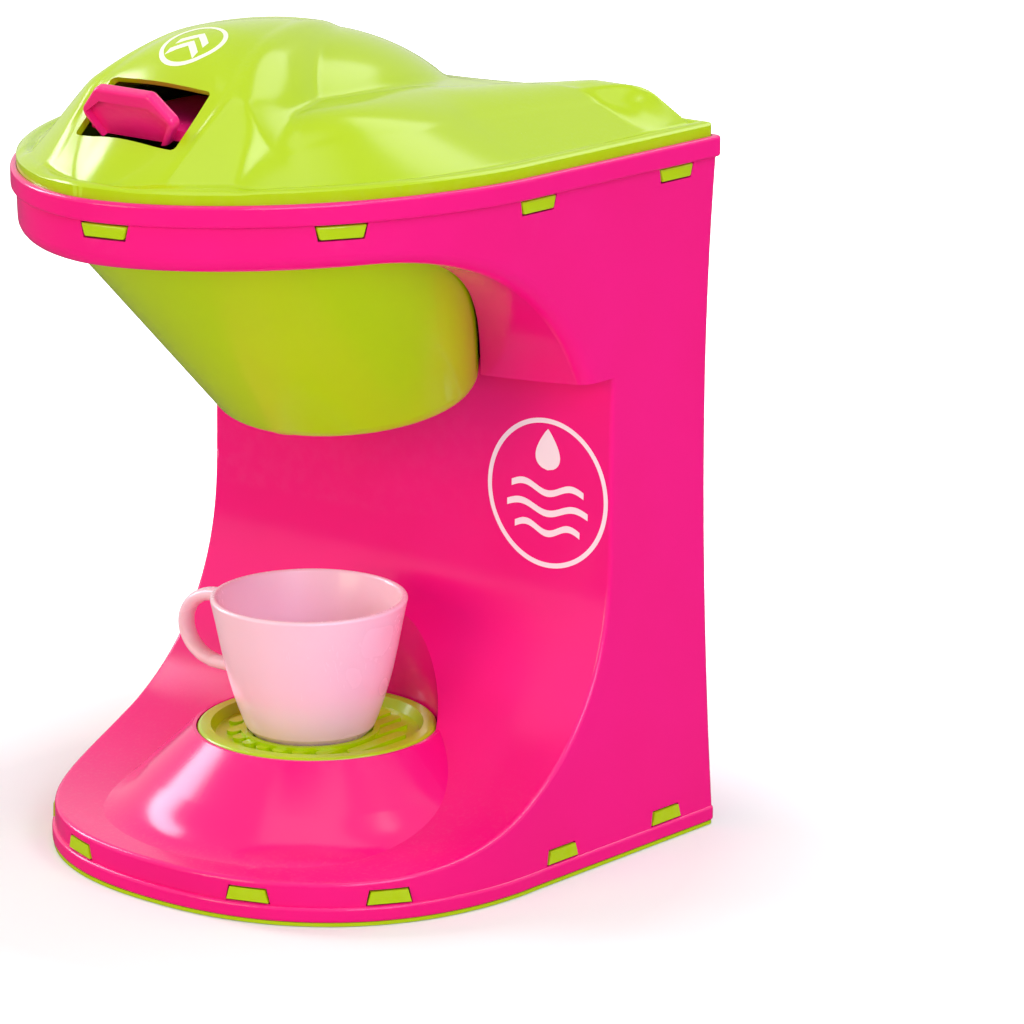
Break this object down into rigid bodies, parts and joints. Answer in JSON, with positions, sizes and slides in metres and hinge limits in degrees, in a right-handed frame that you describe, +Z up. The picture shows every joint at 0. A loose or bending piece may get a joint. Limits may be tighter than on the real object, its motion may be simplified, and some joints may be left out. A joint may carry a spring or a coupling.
{
  "type": "toy coffee maker",
  "caption": "Toy coffee maker: C-shaped shell with a domed lid, lift lever, funnel water tank with a plug valve, drip tray and a small cup.",
  "frame": {"origin": "on the floor, under the middle of the footprint box", "axes": "+Z up, -Y the front where the cup stands, +X the viewer's right when facing the front"},
  "size_m": [0.1438, 0.1573, 0.2143],
  "materials": {
    "pink_shell": "glossy moulded plastic",
    "lime_plastic": "glossy moulded plastic",
    "lever_pink": "glossy moulded plastic",
    "cup_pink": "soft gloss moulded plastic",
    "white_plastic": "plain moulded plastic",
    "plug_rubber": "soft pale rubber",
    "steel": "plain steel"
  },
  "bodies": {
    "housing": {"body_shell": "pink_shell", "lid": "lime_plastic", "base_plate": "lime_plastic", "funnel_tank": "lime_plastic", "stem_guide": "white_plastic", "guide_screws": "steel", "tank_screws": "steel", "lever_pin": "steel", "pin_caps": "white_plastic"},
    "lever": {"lever": "lever_pink"},
    "valve": {"valve_stem": "white_plastic", "stem_clip": "steel", "valve_plug": "plug_rubber", "return_spring": "steel"},
    "tray": {"drip_tray": "lime_plastic"},
    "cup": {"cup": "cup_pink"}
  },
  "joints": [
    {"name": "lever_lift", "type": "hinge", "parent": "housing", "child": "lever", "pos_m": [0, 0.01665, 0.196], "axis": [-1, 0, 0], "range_deg": [0, 6.3], "stiffness_Nm_per_rad": 0.02, "springref_deg": -12.61},
    {"name": "valve_lift", "type": "slide", "parent": "housing", "child": "valve", "axis": [0, 0, 1], "range_m": [0, 0.002], "deforming": ["return_spring"]},
    {"name": "tray_lift", "type": "slide", "parent": "housing", "child": "tray", "axis": [0, 0, 1], "range_m": [0, 0.012]},
    {"name": "cup_lift", "type": "slide", "parent": "tray", "child": "cup", "axis": [0, -0.8, 0.6], "range_m": [0, 0.12]}
  ],
  "couplings": [
    {"joint": "valve_lift", "follows": "lever_lift", "m_per_rad": 0.018}
  ]
}
